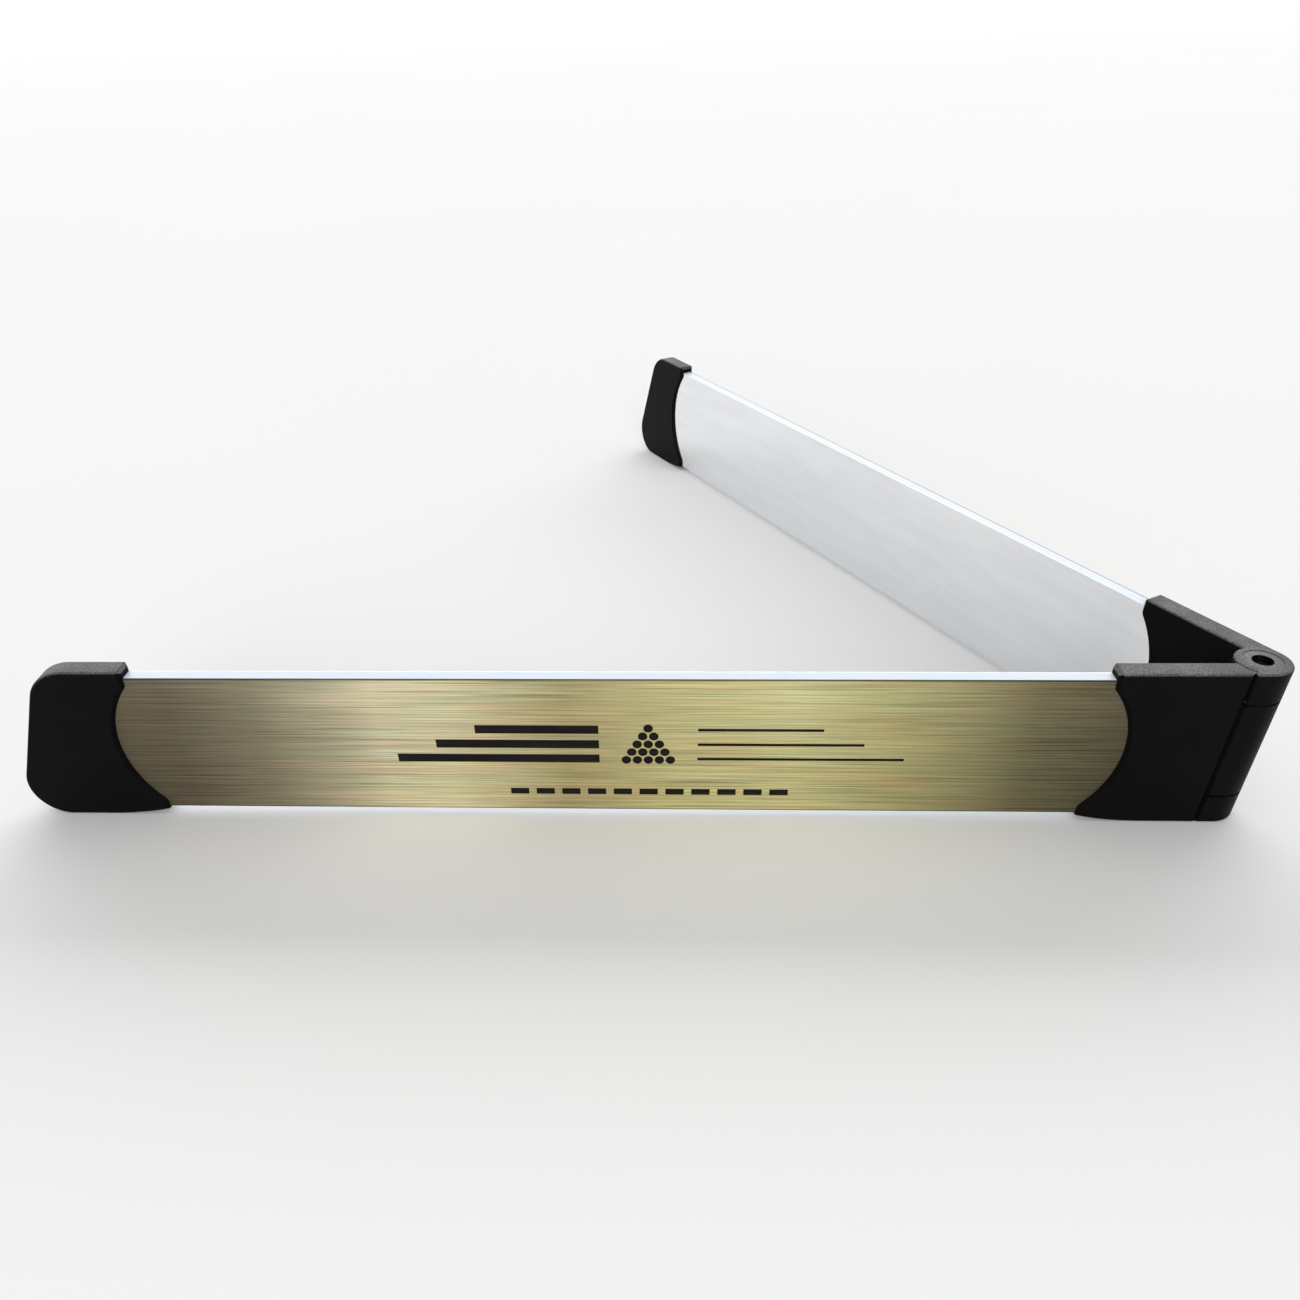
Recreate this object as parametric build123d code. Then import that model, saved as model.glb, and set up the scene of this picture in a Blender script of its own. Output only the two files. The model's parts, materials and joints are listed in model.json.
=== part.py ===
from build123d import *
import os
from math import atan2, cos, degrees, radians, sin, sqrt, tan

# Folding ball rack: two rails hinged at one corner into a 60 degree V, with capped free ends.
#
# Each arm is drawn in its own frame: U (the X axis) runs along the arm from the hinge axis,
# W (the Y axis) points out of the rack, and Z is up. The front arm is turned by half a turn,
# and the side arm is mirrored and turned to the rack's angle. The arms differ at the hinge
# only: the front cap carries the middle knuckle, and the side cap the two ears.

# Balls and rails
BALL_DIAMETER = 50.8
BALLS_PER_SIDE = 5
BALL_GAP = 0.3              # from the outer balls to the rail's inner face
RACK_ANGLE = 60.0
RAIL_THICKNESS = 3.7
SKIN_THICKNESS = 0.35
RAIL_HEIGHT = 38.7
RAIL_START = 12.0           # rail's hidden end in the hinge cap, from the hinge axis
RAIL_END_INSET = 7.5        # rail's hidden end in the end cap, from the rack's inner corner

# Caps
CAP_HEIGHT = 43.0
CAP_WALL = 0.95             # over each face of the rail
EDGE_FILLET = 0.7
HINGE_CAP_LENGTH = 34.0     # from the hinge axis
END_CAP_OVERLAP = 23.7      # from the rack's inner corner back along the rail
END_TOP_INSET = 2.4         # slanted end's upper corner, from the rack's inner corner
END_SLANT = 23.2            # degrees from upright, reaching further at the table
END_TOP_RADIUS = 11.0
END_FOOT_RADIUS = 9.0
BITE_RADIUS = 25.0          # round cut-out in each cap wall, at the rail's face
BITE_DEPTH = 6.8
BITE_BEVEL = 42.0
BITE_CORNER = 2.2           # rounds the corners where the bite meets the mouth
MOUTH_CHAMFER = 0.8
HEEL_LENGTH = 15.5          # stretch of a cap's underside that lifts towards the rail
HEEL_LIFT = 1.7

# Hinge
NOSE_RADIUS = 6.6
KNUCKLE_RADIUS = 6.1
KNUCKLE_CLEARANCE = 0.4
HORN_LENGTH = 4.3           # stop shoulder, along the outer face from the axis
STOP_GAP = 0.15
GROOVE_DEPTH = 0.7
EAR_HEIGHT = 8.0
EAR_GAP = 0.6               # from an ear to the middle knuckle
WASHER_RADIUS = 5.7
WASHER_THICKNESS = 0.5
PIN_RADIUS = 2.35
PIN_RECESS = 1.6
PIN_CHAMFER = 0.35
RUNNING_FIT = 0.05
BUSH_RADIUS = 3.4
FLANGE_RADIUS = 4.4
FLANGE_HEIGHT = 0.9
FLANGE_RECESS = 0.12

# Places in the arm's frame
W_CAP_OUT = NOSE_RADIUS
W_RAIL_OUT = W_CAP_OUT - CAP_WALL
W_RAIL_IN = W_RAIL_OUT - RAIL_THICKNESS
W_CAP_IN = W_RAIL_IN - CAP_WALL
W_MIDDLE = (W_CAP_OUT + W_CAP_IN) / 2
RAIL_BOTTOM = (CAP_HEIGHT - RAIL_HEIGHT) / 2
RAIL_TOP = RAIL_BOTTOM + RAIL_HEIGHT
Z_MIDDLE = CAP_HEIGHT / 2
CORNER_COTANGENT = 1 / tan(radians(RACK_ANGLE / 2))
BALL_REACH = BALL_DIAMETER / 2 + BALL_GAP
NEAR_BALL = (BALL_REACH - W_RAIL_IN) * CORNER_COTANGENT
FAR_BALL = NEAR_BALL + (BALLS_PER_SIDE - 1) * BALL_DIAMETER
INNER_CORNER = FAR_BALL + BALL_REACH * CORNER_COTANGENT
RAIL_END = INNER_CORNER - RAIL_END_INSET
END_CAP_START = INNER_CORNER - END_CAP_OVERLAP
END_TOP = INNER_CORNER - END_TOP_INSET
END_FOOT = END_TOP + CAP_HEIGHT * tan(radians(END_SLANT))
NOSE_START = 90.0
NOSE_END = NOSE_START + 180 - RACK_ANGLE
HORN_ANGLE = degrees(atan2(NOSE_RADIUS, HORN_LENGTH))
HORN_RADIUS = NOSE_RADIUS / sin(radians(HORN_ANGLE))
OTHER_HORN_ANGLE = NOSE_START + NOSE_END - HORN_ANGLE
EAR_TOP = CAP_HEIGHT - EAR_HEIGHT
FAR = 80.0                  # clear of any cap


def box(u, w, z):
    """A box from its ranges along U, W and Z."""
    size = (u[1] - u[0], w[1] - w[0], z[1] - z[0])
    middle = ((u[0] + u[1]) / 2, (w[0] + w[1]) / 2, (z[0] + z[1]) / 2)
    return Pos(*middle) * Box(*size)


def disc(radius, bottom, top):
    """An upright cylinder on the hinge axis."""
    return Pos(0, 0, (bottom + top) / 2) * Cylinder(radius, top - bottom)


def polar(radius, angle):
    return (radius * cos(radians(angle)), radius * sin(radians(angle)))


def across(profile, w_low, w_high):
    """Extrudes a profile drawn in U and Z through the arm's thickness."""
    return Pos(0, w_high, 0) * extrude(Plane.XZ * profile, w_high - w_low)


def heel(foot, tip):
    """Profile of what a cap's underside loses as it lifts in an arc, from foot to tip."""
    run = abs(tip - foot)
    radius = (run**2 + HEEL_LIFT**2) / (2 * HEEL_LIFT)
    corner = Pos((foot + tip) / 2, HEEL_LIFT / 2) * Rectangle(run, HEEL_LIFT)
    return corner - Pos(foot, radius) * Circle(radius)


def bite(mouth, inwards):
    """Cutter that ends both walls of a cap in a bevelled round bite, inwards being +1 or -1."""
    centre = mouth + inwards * (BITE_DEPTH - BITE_RADIUS)
    beyond_mouth = Pos(mouth - inwards * FAR / 2, Z_MIDDLE) * Rectangle(FAR, FAR)
    outline = beyond_mouth + Pos(centre, Z_MIDDLE) * Circle(BITE_RADIUS)
    outline = fillet(outline.vertices().filter_by_position(Axis.X, mouth - 1, mouth + 1), BITE_CORNER)
    cutter = extrude(Plane.XZ * outline, 2 * CAP_WALL, taper=-BITE_BEVEL)
    inner = Pos(0, W_RAIL_IN, 0) * cutter
    return inner + mirror(inner, about=Plane.XZ.offset(-W_MIDDLE))


def mouth_bevel(mouth):
    """Cutter for the upper edge of a cap's mouth."""
    side = MOUTH_CHAMFER * sqrt(2)
    return Pos(mouth, 0, CAP_HEIGHT) * Rot(0, 45, 0) * Box(side, FAR, side)


def rail_slot(u_from, u_to):
    return box((u_from, u_to), (W_RAIL_IN, W_RAIL_OUT), (RAIL_BOTTOM, RAIL_TOP))


def rail_layer(w_low, w_high):
    return box((RAIL_START, RAIL_END), (w_low, w_high), (RAIL_BOTTOM, RAIL_TOP))


def end_cap():
    """Slanted, rounded cap on an arm's free end."""
    left, right = END_CAP_START, END_FOOT
    corners = [(left, 0), (left, CAP_HEIGHT), (END_TOP, CAP_HEIGHT), (right, 0)]
    profile = make_face(Polyline(*corners, close=True))
    foot_corner = profile.vertices().sort_by(Axis.X)[-1]
    profile = fillet(foot_corner, END_FOOT_RADIUS)
    top_corner = profile.vertices().sort_by_distance((END_TOP, CAP_HEIGHT))[0]
    profile = fillet(top_corner, END_TOP_RADIUS)
    profile -= heel(left + HEEL_LENGTH, left)
    cap = across(profile, W_CAP_IN, W_CAP_OUT)
    rims = cap.faces().filter_by(Axis.Y).edges()
    cap = fillet([rim for rim in rims if rim.center().X > left + EDGE_FILLET], EDGE_FILLET)
    cap -= rail_slot(left - 1, RAIL_END)
    cap -= bite(left, 1)
    return cap - mouth_bevel(left)


def nose_plan():
    """Plan of the corner: the barrel, and the nose's arc between the two stop shoulders."""
    own_horn = polar(HORN_RADIUS, HORN_ANGLE)
    other_horn = polar(HORN_RADIUS, OTHER_HORN_ANGLE)
    start = polar(NOSE_RADIUS, NOSE_START)
    middle = polar(NOSE_RADIUS, (NOSE_START + NOSE_END) / 2)
    end = polar(NOSE_RADIUS, NOSE_END)
    outline = Polyline((0, 0), own_horn, start) + ThreePointArc(start, middle, end)
    outline += Polyline(end, other_horn, (0, 0))
    return make_face(outline) + Circle(KNUCKLE_RADIUS)


def knuckle_space(bottom, top):
    """What the other arm's knuckle fills or sweeps: its barrel, and all past the stop."""
    stop_line = polar(FAR, HORN_ANGLE)
    corners = [(0, 0), stop_line, (-FAR, FAR), (-FAR, -FAR), (FAR, -FAR), (FAR, 0)]
    past_stop = make_face(Polyline(*corners, close=True))
    plan = Pos(*polar(STOP_GAP, HORN_ANGLE - 90)) * past_stop
    plan += Circle(KNUCKLE_RADIUS + KNUCKLE_CLEARANCE)
    return Pos(0, 0, bottom) * extrude(plan, top - bottom)


def seam_grooves():
    """Cutter for the V grooves that run down both outer faces where the shoulders meet."""
    side = GROOVE_DEPTH * sqrt(2)
    prism = Pos(0, 0, Z_MIDDLE) * Box(side, side, FAR)
    own = Pos(*polar(HORN_RADIUS, HORN_ANGLE)) * Rot(0, 0, 45) * prism
    turn = 45 + NOSE_END - NOSE_START
    return own + Pos(*polar(HORN_RADIUS, OTHER_HORN_ANGLE)) * Rot(0, 0, turn) * prism


def hinge_cap_blank():
    """A hinge cap with its nose at full height, before the other arm's knuckles are let in."""
    length = HINGE_CAP_LENGTH
    arm = Pos(length / 2, W_MIDDLE) * Rectangle(length, W_CAP_OUT - W_CAP_IN)
    cap = extrude(arm + nose_plan(), CAP_HEIGHT)
    cap -= across(heel(length - HEEL_LENGTH, length), -FAR, FAR)
    rims = []
    for edge in cap.edges():
        middle = edge.center()
        level = middle.Z < HEEL_LIFT or middle.Z > CAP_HEIGHT - EDGE_FILLET
        crosses_arm = abs((edge @ 1).X - (edge @ 0).X) < EDGE_FILLET and middle.X > 0
        shoulder = edge.length < HORN_RADIUS - KNUCKLE_RADIUS + EDGE_FILLET and middle.X < 0
        if level and not crosses_arm and not shoulder:
            rims.append(edge)
    return fillet(rims, EDGE_FILLET)


def hinge_cap(spaces, bores):
    """A hinge cap, from the heights it leaves to the other arm and its bores on the axis."""
    length = HINGE_CAP_LENGTH
    cap = hinge_cap_blank()
    for bottom, top in spaces:
        cap -= knuckle_space(bottom, top)
    for radius, bottom, top in bores:
        cap -= disc(radius, bottom, top)
    cap -= seam_grooves()
    cap -= rail_slot(RAIL_START, length + 1)
    cap -= bite(length, -1)
    return cap - mouth_bevel(length)


def front_hinge_cap():
    ear_space = EAR_HEIGHT + EAR_GAP
    spaces = [(-1, ear_space), (CAP_HEIGHT - ear_space, CAP_HEIGHT + 1)]
    return hinge_cap(spaces, [(PIN_RADIUS, 0, CAP_HEIGHT)])


def side_hinge_cap():
    flange = FLANGE_RECESS + FLANGE_HEIGHT
    bores = [
        (BUSH_RADIUS, -1, CAP_HEIGHT + 1),
        (FLANGE_RADIUS, -1, flange),
        (FLANGE_RADIUS, CAP_HEIGHT - flange, CAP_HEIGHT + 1),
    ]
    return hinge_cap([(EAR_HEIGHT, EAR_TOP)], bores)


def hinge_pin():
    """Plain pin, pressed into the middle knuckle and sunk below the ears' outer faces."""
    pin = disc(PIN_RADIUS, PIN_RECESS, CAP_HEIGHT - PIN_RECESS)
    return chamfer(pin.edges().filter_by(GeomType.CIRCLE), PIN_CHAMFER)


def upper_bush():
    """Flanged bush, pressed into the upper ear from above."""
    top = CAP_HEIGHT - FLANGE_RECESS
    bush = disc(BUSH_RADIUS, EAR_TOP, top) + disc(FLANGE_RADIUS, top - FLANGE_HEIGHT, top)
    return bush - disc(PIN_RADIUS + RUNNING_FIT, 0, CAP_HEIGHT)


def lower_washer():
    """Plain washer under the middle knuckle, clear of the lower ear."""
    top = EAR_HEIGHT + EAR_GAP
    ring = disc(WASHER_RADIUS, top - WASHER_THICKNESS, top)
    return ring - disc(PIN_RADIUS + RUNNING_FIT, 0, CAP_HEIGHT)


def upside_down(piece):
    return mirror(piece, about=Plane.XY.offset(Z_MIDDLE))


def rail(prefix):
    return {
        prefix + "_rail_face": rail_layer(W_RAIL_OUT - SKIN_THICKNESS, W_RAIL_OUT),
        prefix + "_rail_core": rail_layer(W_RAIL_IN + SKIN_THICKNESS, W_RAIL_OUT - SKIN_THICKNESS),
        prefix + "_rail_mirror": rail_layer(W_RAIL_IN, W_RAIL_IN + SKIN_THICKNESS),
    }


def front_arm():
    pieces = rail("front")
    pieces["front_end_cap"] = end_cap()
    pieces["front_hinge_cap"] = front_hinge_cap()
    pieces["hinge_pin"] = hinge_pin()
    pieces["lower_washer"] = lower_washer()
    pieces["upper_washer"] = upside_down(lower_washer())
    return {name: Rot(0, 0, 180) * piece for name, piece in pieces.items()}


def side_arm():
    pieces = rail("side")
    pieces["side_end_cap"] = end_cap()
    pieces["side_hinge_cap"] = side_hinge_cap()
    pieces["upper_bush"] = upper_bush()
    pieces["lower_bush"] = upside_down(upper_bush())
    turn = Rot(0, 0, 180 - RACK_ANGLE)
    return {name: turn * mirror(piece, about=Plane.XZ) for name, piece in pieces.items()}


def main():
    """Writes every piece, with the origin under the middle of the whole rack's box."""
    pieces = front_arm() | side_arm()
    bounds = pieces["hinge_pin"].bounding_box()
    for piece in pieces.values():
        bounds = bounds.add(piece.bounding_box())
    middle = bounds.center()
    to_origin = Pos(-middle.X, -middle.Y, -bounds.min.Z)
    os.makedirs("parts", exist_ok=True)
    for name, piece in pieces.items():
        export_step(to_origin * piece, f"parts/{name}.step")
    print(f"hinge axis at x {-middle.X:.4f}, y {-middle.Y:.4f}")
    print(f"whole rack {bounds.size.X:.3f} x {bounds.size.Y:.3f} x {bounds.size.Z:.3f}")


main()
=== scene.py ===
import json
from math import cos, pi, radians, sin, tan

import bmesh
import bpy
from mathutils import Matrix, Vector


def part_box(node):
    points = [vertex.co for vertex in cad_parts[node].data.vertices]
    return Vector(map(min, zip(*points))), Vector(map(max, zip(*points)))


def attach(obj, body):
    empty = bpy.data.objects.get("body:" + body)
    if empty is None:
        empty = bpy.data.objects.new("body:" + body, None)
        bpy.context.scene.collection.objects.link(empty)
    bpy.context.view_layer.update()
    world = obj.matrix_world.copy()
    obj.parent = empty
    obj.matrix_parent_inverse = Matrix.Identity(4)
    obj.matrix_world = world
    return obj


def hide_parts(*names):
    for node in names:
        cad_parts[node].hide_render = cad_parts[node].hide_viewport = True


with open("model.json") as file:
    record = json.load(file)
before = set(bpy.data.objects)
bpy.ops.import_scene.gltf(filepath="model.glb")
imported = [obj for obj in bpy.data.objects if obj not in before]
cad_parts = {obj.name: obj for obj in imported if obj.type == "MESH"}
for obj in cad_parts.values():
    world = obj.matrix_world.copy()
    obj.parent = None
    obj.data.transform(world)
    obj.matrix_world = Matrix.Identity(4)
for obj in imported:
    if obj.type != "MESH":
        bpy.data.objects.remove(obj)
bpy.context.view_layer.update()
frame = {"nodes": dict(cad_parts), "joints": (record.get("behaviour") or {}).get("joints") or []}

MM = 0.001

# The camera, solved for the photograph's viewpoint, in metres and degrees; lens and sensor in millimetres.
CAMERA_PLACE = Vector((0.0112, -0.3364, 0.1678))
CAMERA_YAW = -3.19
CAMERA_PITCH = 38.40
CAMERA_ROLL = -1.59
CAMERA_LENS = 28.39
CAMERA_SENSOR = 36
CAMERA_SHIFT = (0.0200, 0.1108)
CAMERA_CLIP = (0.01, 100)

# The rack's corner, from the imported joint, and the angle between its arms at rest.
HINGE = Vector(frame["joints"][0]["pos_m"])
RACK_ANGLE = radians(60)

# The front rail's outer plate. Both brushed skins are made from it.
PLATE_LOW, PLATE_HIGH = (Vector(corner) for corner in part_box("front_rail_face"))

# The eased edge of a brushed skin, the depths between which its face darkens towards it, and how far.
SKIN_EDGE = 0.15 * MM
SKIN_SHADE = (0.20 * MM, 0.55 * MM)
SKIN_EDGE_TONE = 0.45

# Noise cells per metre along and across the brushing, from broad to fine.
CLOUDS = (12, 40, 1)
WARM_PATCHES = (26, 240, 1)
BANDS = (9, 2300, 1)
STREAKS = (32, 3900, 1)
HAIRLINES = (24, 5200, 1)

# The brushed skin's colour along the rail, holding a painted sheen that rises and falls, darkest at the
# ends: places from the free end to the hinge, and red, green, blue.
PAINTED_SHEEN_STOPS = (
    (0.00, (0.150, 0.124, 0.080)),
    (0.09, (0.220, 0.187, 0.127)),
    (0.17, (0.390, 0.345, 0.235)),
    (0.23, (0.640, 0.590, 0.405)),
    (0.28, (0.960, 0.890, 0.610)),
    (0.34, (0.930, 0.860, 0.560)),
    (0.45, (0.630, 0.550, 0.295)),
    (0.55, (0.820, 0.750, 0.395)),
    (0.65, (0.880, 0.830, 0.450)),
    (0.73, (0.700, 0.650, 0.330)),
    (0.86, (0.275, 0.245, 0.137)),
    (0.93, (0.165, 0.148, 0.090)),
    (1.00, (0.100, 0.088, 0.058)),
)

# A painted sheen greys the caps' upward faces, and comes in between these heights.
PAINTED_SHEEN_HEIGHTS = (36 * MM, 40 * MM)

# The print: dots stacked like racked balls, bold bars to their left, thin ones to their right, dashes below.
PRINT_SHIFT = 6.0 * MM
INK_PROUD = 0.03 * MM
INK_ROOT = 0.05 * MM
BALL_ROWS = 5
BALL_PITCH = 2.7 * MM
BALL_RADIUS = 0.43 * BALL_PITCH
BALL_BASE = 17.8 * MM
BAR_BASE = 18.15 * MM
BAR_PITCH = 4.3 * MM
BAR_START = 12 * MM
BAR_ENDS = (62 * MM, 52 * MM, 42 * MM)
BOLD_BAR = 2.4 * MM
THIN_BAR = 0.75 * MM
DASHES = 11
DASH_PITCH = 6.5 * MM
DASH_SIZE = (4.6 * MM, 1.8 * MM)
DASH_MIDDLE = 7.9 * MM

# The surround's glow at the horizon and overhead, and the sines of the heights between which it fades.
SKY_HORIZON = 1.04
SKY_ZENITH = 0.45
SKY_FADE = (0.08, 0.65)
FLOOR_REACH = 14.0

# Far lights: name, azimuth, half width, lowest and highest angle, all in degrees from the rack, and glow.
SOFTBOX_DISTANCE = 30.0
SOFTBOXES = (
    ("back_softbox", 0, 52, 17, 44, 4.0),
    ("front_softbox", 180, 16, 10, 44, 5.0),
    ("top_softbox", 0, 28, 62, 118, 0.5),
)


# ---------------------------------------------------------------- materials

def rgb(red, green, blue):
    return (red, green, blue, 1.0)


class Shader:
    """A material's node tree, with short calls for adding and joining nodes."""

    def __init__(self, name):
        self.material = bpy.data.materials.new(name)
        self.material.use_nodes = True
        self.tree = self.material.node_tree
        self.surface = self.tree.nodes["Principled BSDF"]

    def node(self, kind, **settings):
        made = self.tree.nodes.new(kind)
        for key, value in settings.items():
            setattr(made, key, value)
        return made

    def join(self, output, socket):
        self.tree.links.new(output, socket)

    def set(self, **values):
        """Sets the surface's own sockets, each named with _ for a space."""
        for key, value in values.items():
            self.surface.inputs[key.replace("_", " ")].default_value = value

    def place(self, scale=(1, 1, 1), turn=0.0):
        """Object coordinates, turned about Z and then scaled."""
        coordinates = self.node("ShaderNodeTexCoord")
        turned = self.node("ShaderNodeMapping")
        turned.inputs["Rotation"].default_value = (0, 0, turn)
        self.join(coordinates.outputs["Object"], turned.inputs["Vector"])
        scaled = self.node("ShaderNodeMapping")
        scaled.inputs["Scale"].default_value = scale
        self.join(turned.outputs["Vector"], scaled.inputs["Vector"])
        return scaled.outputs["Vector"]

    def upright(self, kind):
        """The Z part of the Object coordinates, or of the object's Normal."""
        parts = self.node("ShaderNodeSeparateXYZ")
        self.join(self.node("ShaderNodeTexCoord").outputs[kind], parts.inputs["Vector"])
        return parts.outputs["Z"]

    def stretch(self, vector, scale, offset):
        """Another output's coordinates, scaled and then shifted."""
        made = self.node("ShaderNodeMapping")
        made.inputs["Location"].default_value = (offset, offset, 0)
        made.inputs["Scale"].default_value = scale
        self.join(vector, made.inputs["Vector"])
        return made.outputs["Vector"]

    def noise(self, vector, scale=1.0, detail=2.0, roughness=0.5):
        made = self.node("ShaderNodeTexNoise")
        made.inputs["Scale"].default_value = scale
        made.inputs["Detail"].default_value = detail
        made.inputs["Roughness"].default_value = roughness
        self.join(vector, made.inputs["Vector"])
        return made.outputs["Fac"]

    def remap(self, value, low, high, to_low, to_high, curve="SMOOTHSTEP"):
        """Carries a value from one range to another, and holds it there."""
        made = self.node("ShaderNodeMapRange", interpolation_type=curve)
        for socket, number in zip(made.inputs[1:5], (low, high, to_low, to_high)):
            socket.default_value = number
        self.join(value, made.inputs["Value"])
        return made.outputs["Result"]

    def ramp(self, value, stops):
        """A run of colours along a value, from (place, colour) stops."""
        made = self.node("ShaderNodeValToRGB")
        elements = made.color_ramp.elements
        made.color_ramp.interpolation = "LINEAR"
        while len(elements) < len(stops):
            elements.new(0.5)
        for element, (place, colour) in zip(elements, stops):
            element.position = place
            element.color = rgb(*colour)
        self.join(value, made.inputs["Fac"])
        return made.outputs["Color"]

    def mix(self, factor, first, second, blend="MIX"):
        """Mixes colours; each input is a value or another node's output."""
        made = self.node("ShaderNodeMix", data_type="RGBA", blend_type=blend)
        for value, socket in ((factor, made.inputs[0]), (first, made.inputs[6]), (second, made.inputs[7])):
            if isinstance(value, bpy.types.NodeSocket):
                self.join(value, socket)
            else:
                socket.default_value = value
        return made.outputs[2]

    def times(self, first, second):
        return self.mix(1.0, first, second, "MULTIPLY")

    def tone(self, colour, noise, low, high):
        """Lightens and darkens a colour with a noise, between two factors."""
        return self.times(colour, self.remap(noise, 0.28, 0.72, low, high))

    def bump(self, height, distance, strength=1.0, below=None):
        """A normal from a height, on top of another bump's normal if one is given."""
        made = self.node("ShaderNodeBump")
        made.inputs["Distance"].default_value = distance
        made.inputs["Strength"].default_value = strength
        self.join(height, made.inputs["Height"])
        if below is not None:
            self.join(below, made.inputs["Normal"])
        return made.outputs["Normal"]

    def finish(self, colour=None, roughness=None, normal=None):
        for output, name in ((colour, "Base Color"), (roughness, "Roughness"), (normal, "Normal")):
            if output is not None:
                self.join(output, self.surface.inputs[name])
        return self.material


def brushed_champagne(name, offset):
    """Aluminium skin brushed along the rail, under a painted sheen that rises and falls from end to end.

    The offset shifts the streaks, so that the two rails differ.
    """
    shader = Shader(name)
    shader.set(Metallic=1.0, Anisotropic=0.8)
    flat = shader.node("ShaderNodeUVMap", uv_map="length").outputs["UV"]
    clouds = shader.noise(shader.stretch(flat, CLOUDS, offset), detail=2)
    warmth = shader.noise(shader.stretch(flat, WARM_PATCHES, offset), detail=2)
    bands = shader.noise(shader.stretch(flat, BANDS, offset), detail=1)
    streaks = shader.noise(shader.stretch(flat, STREAKS, offset), detail=2, roughness=0.6)
    hairs = shader.noise(shader.stretch(flat, HAIRLINES, offset), detail=0)

    along = shader.node("ShaderNodeSeparateXYZ")
    shader.join(flat, along.inputs["Vector"])
    sheen = shader.remap(along.outputs["X"], PLATE_LOW.x, PLATE_HIGH.x, 0, 1, "LINEAR")
    tint = shader.mix(shader.remap(warmth, 0.35, 0.70, 0, 1), rgb(0.97, 1.00, 0.98), rgb(1.05, 0.97, 0.95))
    # The base colour carries a painted sheen: the reflection's rise and fall along the rail, put into the
    # colour.
    colour = shader.ramp(sheen, PAINTED_SHEEN_STOPS)
    colour = shader.tone(colour, clouds, 0.94, 1.04)
    colour = shader.times(colour, tint)
    colour = shader.tone(colour, bands, 0.90, 1.07)
    colour = shader.tone(colour, streaks, 0.74, 1.16)
    colour = shader.times(colour, shader.remap(hairs, 0.26, 0.42, 0.62, 1.04))
    for shade in edge_shades(shader):
        colour = shader.times(colour, shade)

    rough = shader.remap(streaks, 0.25, 0.75, 0.50, 0.38)
    normal = shader.bump(hairs, 0.02 * MM, 0.5)
    normal = shader.bump(streaks, 0.03 * MM, 0.5, normal)
    tangent = shader.node("ShaderNodeTangent", direction_type="UV_MAP", uv_map="length")
    shader.join(tangent.outputs["Tangent"], shader.surface.inputs["Tangent"])
    return shader.finish(colour, rough, normal)


def edge_shades(shader):
    """The brushed face's tone, which falls just short of its lower and upper sheared edges."""
    near, clear = SKIN_SHADE
    height = shader.upright("Object")
    lower = shader.remap(height, PLATE_LOW.z + near, PLATE_LOW.z + clear, SKIN_EDGE_TONE, 1)
    upper = shader.remap(height, PLATE_HIGH.z - clear, PLATE_HIGH.z - near, 1, SKIN_EDGE_TONE)
    return (lower, upper)


def sheared_edge(name):
    """The skin's cut edge: duller, browner metal than its face."""
    shader = Shader(name)
    shader.set(Metallic=0.7, Specular_IOR_Level=0.3)
    drag = shader.noise(shader.place(), scale=1800, detail=3, roughness=0.6)
    colour = shader.mix(drag, rgb(0.030, 0.025, 0.016), rgb(0.085, 0.072, 0.046))
    return shader.finish(colour, shader.remap(drag, 0.3, 0.7, 0.45, 0.65))


def mirror_skin(name, turn):
    """Polished inner skin, with the slight waves of thin sheet, a few wipe marks and a dull cut top edge."""
    shader = Shader(name)
    shader.set(Metallic=1.0)
    waves = shader.noise(shader.place((14, 14, 22), turn), detail=1)
    wipes = shader.noise(shader.place((30, 30, 260), turn), detail=4, roughness=0.7)
    colour = shader.mix(shader.remap(wipes, 0.3, 0.7, 0, 1), rgb(0.82, 0.83, 0.85), rgb(0.88, 0.89, 0.90))
    rough = shader.remap(wipes, 0.35, 0.75, 0.03, 0.11)
    edge = shader.remap(shader.upright("Normal"), 0.5, 0.9, 0, 1)
    colour = shader.mix(edge, colour, rgb(0.50, 0.52, 0.53))
    rough = shader.mix(edge, rough, rgb(0.55, 0.55, 0.55))
    return shader.finish(colour, rough, shader.bump(waves, 0.25 * MM, 0.25))


def white_core(name, turn):
    """Plastic core, whose sawn edges carry fine lengthwise lines."""
    shader = Shader(name)
    shader.set(Specular_IOR_Level=0.2)
    lines = shader.noise(shader.place((30, 2600, 2600), turn), detail=3, roughness=0.6)
    tone = shader.noise(shader.place((16, 16, 16), turn), detail=2)
    colour = shader.mix(lines, rgb(0.42, 0.48, 0.54), rgb(0.60, 0.64, 0.68))
    colour = shader.mix(tone, colour, rgb(0.50, 0.57, 0.64))
    rough = shader.remap(lines, 0.3, 0.7, 0.25, 0.42)
    return shader.finish(colour, rough, shader.bump(lines, 0.02 * MM, 0.6))


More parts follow.
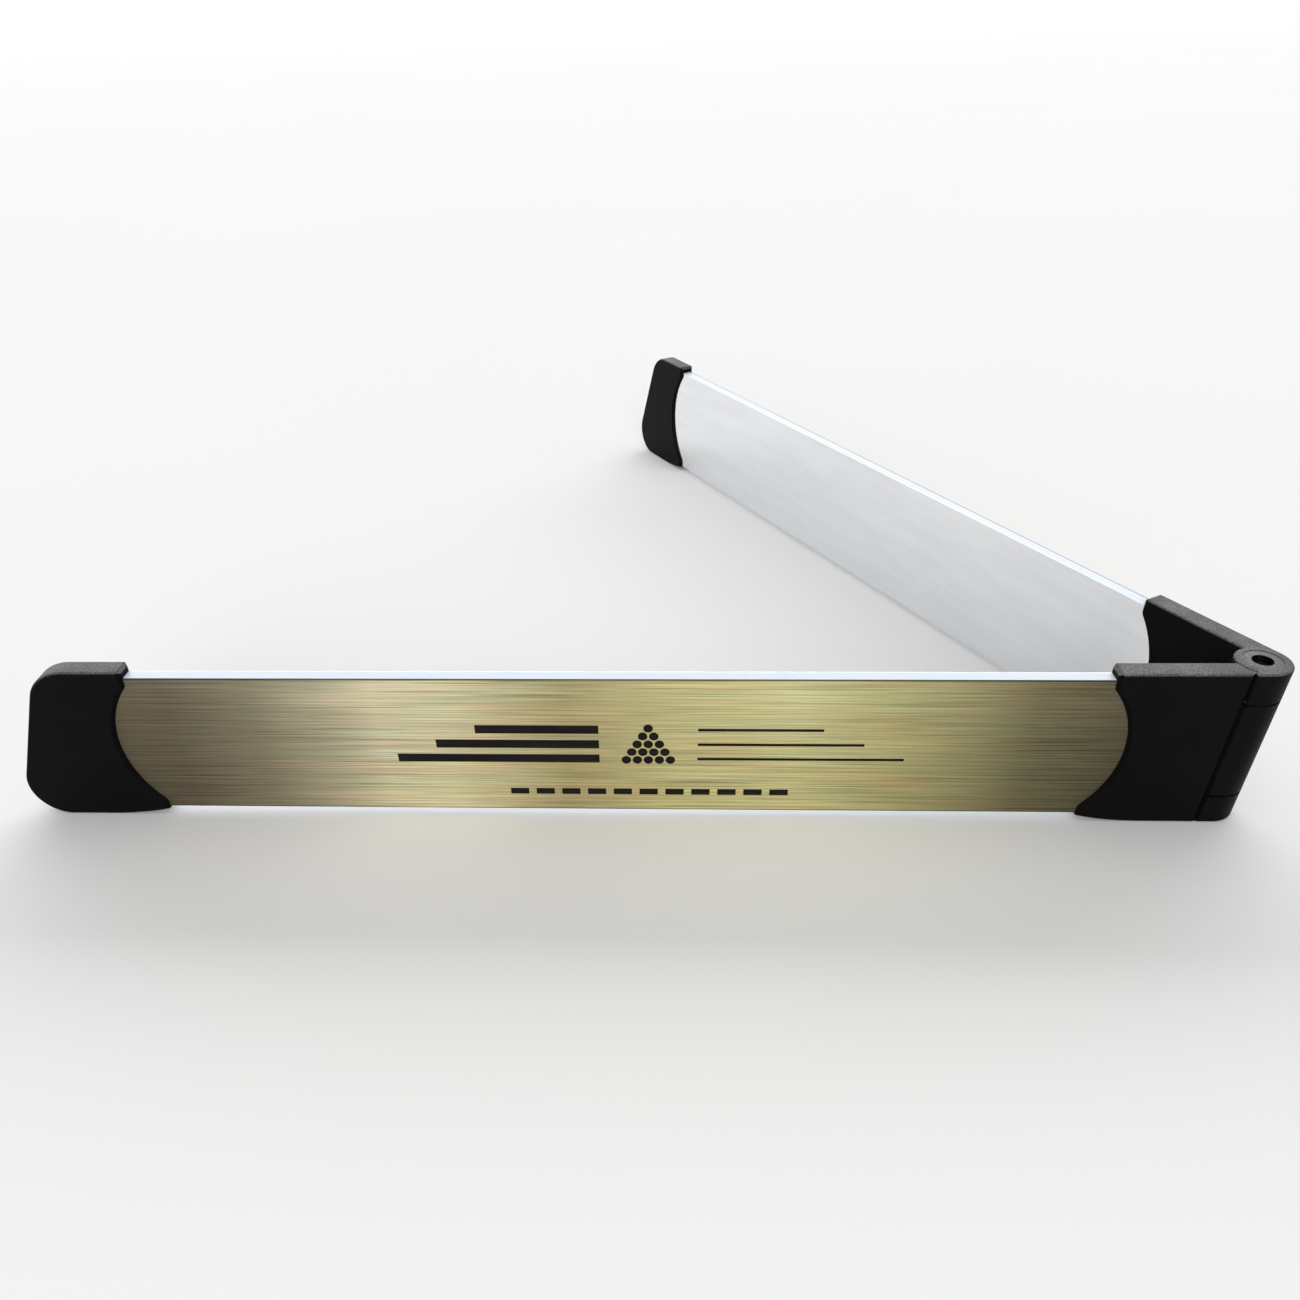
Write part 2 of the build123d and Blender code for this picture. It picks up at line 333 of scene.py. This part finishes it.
def moulded_black(name, grain_depth, gloss):
    """Black moulded plastic with a fine grain, greyed on its upper faces by a painted sheen."""
    shader = Shader(name)
    shader.set(Specular_IOR_Level=0.05)
    grain = shader.noise(shader.place(), scale=2600, detail=3, roughness=0.6)
    coarse = shader.noise(shader.place(), scale=900, detail=2)
    patch = shader.noise(shader.place(), scale=90, detail=3)
    black = shader.mix(patch, rgb(0.0012, 0.0012, 0.0013), rgb(0.0026, 0.0026, 0.0028))
    facing = shader.remap(shader.upright("Normal"), 0.15, 0.95, 0, 1)
    high = shader.remap(shader.upright("Object"), *PAINTED_SHEEN_HEIGHTS, 0, 1)
    # Painted sheen: the upper faces are greyed in the base colour, standing in for glancing light on black
    # plastic.
    painted_top_sheen = shader.tone(rgb(0.100, 0.100, 0.097), grain, 0.40, 1.60)
    painted_top_sheen = shader.tone(painted_top_sheen, patch, 0.75, 1.30)
    colour = shader.mix(shader.times(facing, high), black, painted_top_sheen)
    rough = shader.remap(grain, 0.3, 0.7, gloss - 0.08, gloss + 0.08)
    normal = shader.bump(coarse, grain_depth * 1.5, 0.35)
    return shader.finish(colour, rough, shader.bump(grain, grain_depth, 0.6, normal))


def turned_steel(name):
    """Ground steel pin."""
    shader = Shader(name)
    shader.set(Metallic=1.0)
    rings = shader.noise(shader.place((400, 400, 5200)), detail=3, roughness=0.6)
    colour = shader.mix(rings, rgb(0.42, 0.41, 0.39), rgb(0.60, 0.59, 0.57))
    return shader.finish(colour, shader.remap(rings, 0.3, 0.7, 0.18, 0.36), shader.bump(rings, 0.01 * MM))


def nylon(name):
    """Off-white washers."""
    shader = Shader(name)
    shader.set(Roughness=0.45)
    patch = shader.noise(shader.place(), scale=500, detail=2)
    return shader.finish(shader.mix(patch, rgb(0.66, 0.66, 0.62), rgb(0.78, 0.78, 0.75)))


def print_ink(name):
    """Screen-printed ink, slightly worn along the brushing."""
    shader = Shader(name)
    shader.set(Specular_IOR_Level=0.1)
    wear = shader.noise(shader.place((40, 1, 2300)), detail=4, roughness=0.65)
    worn = shader.remap(wear, 0.35, 0.75, 0, 1)
    colour = shader.mix(worn, rgb(0.004, 0.0035, 0.003), rgb(0.012, 0.010, 0.008))
    return shader.finish(colour, shader.remap(wear, 0.3, 0.7, 0.35, 0.55))


def studio_floor(name):
    """Matt white paper."""
    shader = Shader(name)
    shader.set(Roughness=0.9, Specular_IOR_Level=0.1)
    tone = shader.noise(shader.place(), scale=3, detail=2)
    return shader.finish(shader.mix(tone, rgb(0.68, 0.68, 0.68), rgb(0.70, 0.70, 0.70)))


# ---------------------------------------------------------------- meshes

def new_piece(name, mesh, material):
    piece = bpy.data.objects.new(name, mesh)
    bpy.context.scene.collection.objects.link(piece)
    piece.data.materials.append(material)
    return piece


def finished_mesh(name, work):
    """Turns a bmesh into a mesh with its normals outwards."""
    bmesh.ops.recalc_face_normals(work, faces=work.faces)
    mesh = bpy.data.meshes.new(name)
    work.to_mesh(mesh)
    work.free()
    return mesh


def box_mesh(name, low, high, edge, place):
    """A box with rounded edges, whose UV runs along X in metres, put where place says."""
    work = bmesh.new()
    bmesh.ops.create_cube(work, size=1)
    bmesh.ops.scale(work, vec=high - low, verts=work.verts)
    bmesh.ops.bevel(work, geom=work.edges, offset=edge, segments=2, profile=0.5, affect="EDGES")
    bmesh.ops.translate(work, vec=(low + high) / 2, verts=work.verts)
    length = work.loops.layers.uv.new("length")
    for face in work.faces:
        for loop in face.loops:
            loop[length].uv = (loop.vert.co.x, loop.vert.co.z + loop.vert.co.y)
    for vert in work.verts:
        vert.co = place(vert.co)
    return finished_mesh(name, work)


def prism_mesh(name, outlines, y_low, y_high):
    """Flat plates from closed outlines in X and Z, standing between two Y values."""
    work = bmesh.new()
    for outline in outlines:
        front = [work.verts.new((x, y_low, z)) for x, z in outline]
        back = [work.verts.new((x, y_high, z)) for x, z in outline]
        work.faces.new(front)
        work.faces.new(list(reversed(back)))
        for i in range(len(outline)):
            j = (i + 1) % len(outline)
            work.faces.new((front[j], front[i], back[i], back[j]))
    return finished_mesh(name, work)


def disc_outline(x, z, radius, steps=28):
    angles = [2 * pi * i / steps for i in range(steps)]
    return [(x + radius * cos(angle), z + radius * sin(angle)) for angle in angles]


def bar_outline(x_low, x_high, z_middle, height):
    z_low, z_high = z_middle - height / 2, z_middle + height / 2
    return [(x_low, z_low), (x_high, z_low), (x_high, z_high), (x_low, z_high)]


# ---------------------------------------------------------------- the rack

def side_place(point):
    """The side arm's point that mirrors a front arm's point, across the corner's bisector."""
    along = HINGE.x - point[0]
    out = HINGE.y - point[1]
    run = Vector((-cos(RACK_ANGLE), sin(RACK_ANGLE)))
    away = Vector((sin(RACK_ANGLE), cos(RACK_ANGLE)))
    flat = along * run + out * away
    return Vector((HINGE.x + flat.x, HINGE.y + flat.y, point[2]))


def dress_skins():
    """Brushed skins with eased edges and a UV along the rail, in place of the plain CAD plates."""
    edge = sheared_edge("sheared_edge")
    for arm, place, offset in (("front", Vector, 0.0), ("side", side_place, 3.7)):
        mesh = box_mesh(arm + "_brushed_skin", PLATE_LOW, PLATE_HIGH, SKIN_EDGE, place)
        skin = new_piece(arm + "_brushed_skin", mesh, brushed_champagne(arm + "_champagne", offset))
        skin.data.materials.append(edge)
        for face in skin.data.polygons:
            face.material_index = int(abs(face.normal.z) > 0.25)
        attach(skin, arm + "_arm")
        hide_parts(arm + "_rail_face")


def dress_nodes():
    """Gives every CAD node that shows its material."""
    black = moulded_black("grained_black", 0.035 * MM, 0.50)
    bush = moulded_black("smooth_black", 0.012 * MM, 0.38)
    washer = nylon("nylon")
    looks = {"hinge_pin": turned_steel("turned_steel")}
    for arm, turn in (("front", 0.0), ("side", RACK_ANGLE)):
        looks[arm + "_rail_core"] = white_core(arm + "_core", turn)
        looks[arm + "_rail_mirror"] = mirror_skin(arm + "_mirror", turn)
        looks[arm + "_end_cap"] = black
        looks[arm + "_hinge_cap"] = black
    for level in ("upper", "lower"):
        looks[level + "_bush"] = bush
        looks[level + "_washer"] = washer
    for name, material in looks.items():
        for slot in frame["nodes"][name].material_slots:
            slot.material = material


def print_balls(middle):
    """A triangle of dots, one fewer in each row upwards."""
    dots = []
    for row in range(BALL_ROWS):
        count = BALL_ROWS - row
        z = BALL_BASE + row * BALL_PITCH * sin(pi / 3)
        for i in range(count):
            x = middle + (i - (count - 1) / 2) * BALL_PITCH
            dots.append(disc_outline(x, z, BALL_RADIUS))
    return dots


def print_bars(middle):
    """Bars that shorten upwards on both sides of the dots, and the dashes below."""
    bars = []
    for k, end in enumerate(BAR_ENDS):
        z = BAR_BASE + k * BAR_PITCH
        bars.append(bar_outline(middle - end, middle - BAR_START, z, BOLD_BAR))
        bars.append(bar_outline(middle + BAR_START, middle + end, z, THIN_BAR))
    width, height = DASH_SIZE
    for k in range(DASHES):
        x = middle + (k - (DASHES - 1) / 2) * DASH_PITCH
        bars.append(bar_outline(x - width / 2, x + width / 2, DASH_MIDDLE, height))
    return bars


def add_print():
    """A plain pictogram in dots and bars on the front rail's face; it carries no lettering."""
    middle = (PLATE_LOW.x + PLATE_HIGH.x) / 2 + PRINT_SHIFT
    face = PLATE_LOW.y
    ink = print_ink("print_ink")
    for name, outlines in (("print_balls", print_balls(middle)), ("print_bars", print_bars(middle))):
        piece = new_piece(name, prism_mesh(name, outlines, face - INK_PROUD, face + INK_ROOT), ink)
        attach(piece, "front_arm")


# ---------------------------------------------------------------- the studio

def add_floor():
    half = FLOOR_REACH
    corners = [(-half, -half, 0), (half, -half, 0), (half, half, 0), (-half, half, 0)]
    mesh = bpy.data.meshes.new("floor")
    mesh.from_pydata(corners, [], [(0, 1, 2, 3)])
    floor = new_piece("floor", mesh, studio_floor("floor_paper"))


def add_sky():
    """A pale surround, even with the floor at the horizon and a little deeper overhead."""
    world = bpy.data.worlds.new("studio")
    world.use_nodes = True
    bpy.context.scene.world = world
    nodes, links = world.node_tree.nodes, world.node_tree.links
    parts = nodes.new("ShaderNodeSeparateXYZ")
    fade = nodes.new("ShaderNodeMapRange")
    for socket, number in zip(fade.inputs[1:5], (*SKY_FADE, SKY_HORIZON, SKY_ZENITH)):
        socket.default_value = number
    links.new(nodes.new("ShaderNodeTexCoord").outputs["Generated"], parts.inputs["Vector"])
    links.new(parts.outputs["Z"], fade.inputs["Value"])
    links.new(fade.outputs["Result"], nodes["Background"].inputs["Strength"])
    nodes["Background"].inputs["Color"].default_value = rgb(1.0, 1.0, 1.0)


def add_softbox(name, azimuth, half_width, low, high, glow):
    """A far rectangular light, placed by its angles in degrees as seen from the rack."""
    light = bpy.data.lights.new(name, "AREA")
    light.shape = "RECTANGLE"
    light.size = 2 * SOFTBOX_DISTANCE * tan(radians(half_width))
    light.size_y = 2 * SOFTBOX_DISTANCE * tan(radians(high - low) / 2)
    light.energy = glow * pi * light.size * light.size_y
    turn, rise = radians(azimuth), radians(high + low) / 2
    away = Vector((sin(turn) * cos(rise), cos(turn) * cos(rise), sin(rise)))
    lamp = bpy.data.objects.new(name, light)
    lamp.location = away * SOFTBOX_DISTANCE
    lamp.rotation_euler = (-away).to_track_quat("-Z", "Y").to_euler()
    lamp.visible_camera = False
    bpy.context.scene.collection.objects.link(lamp)


def add_camera():
    yaw, pitch, roll = radians(CAMERA_YAW), radians(CAMERA_PITCH), radians(CAMERA_ROLL)
    ahead = Vector((sin(yaw) * cos(pitch), cos(yaw) * cos(pitch), -sin(pitch)))
    level = Vector((cos(yaw), -sin(yaw), 0))
    upright = level.cross(ahead)
    right = cos(roll) * level + sin(roll) * upright
    up = cos(roll) * upright - sin(roll) * level
    data = bpy.data.cameras.new("camera")
    data.lens = CAMERA_LENS
    data.sensor_width = CAMERA_SENSOR
    data.shift_x, data.shift_y = CAMERA_SHIFT
    data.clip_start, data.clip_end = CAMERA_CLIP
    camera = bpy.data.objects.new("camera", data)
    turn = Matrix((right, up, -ahead)).transposed()
    camera.matrix_world = Matrix.Translation(CAMERA_PLACE) @ turn.to_4x4()
    bpy.context.scene.collection.objects.link(camera)
    bpy.context.scene.camera = camera


bpy.context.scene.view_settings.view_transform = "Standard"
add_camera()
dress_skins()
dress_nodes()
add_print()
add_floor()
add_sky()
for softbox in SOFTBOXES:
    add_softbox(*softbox)
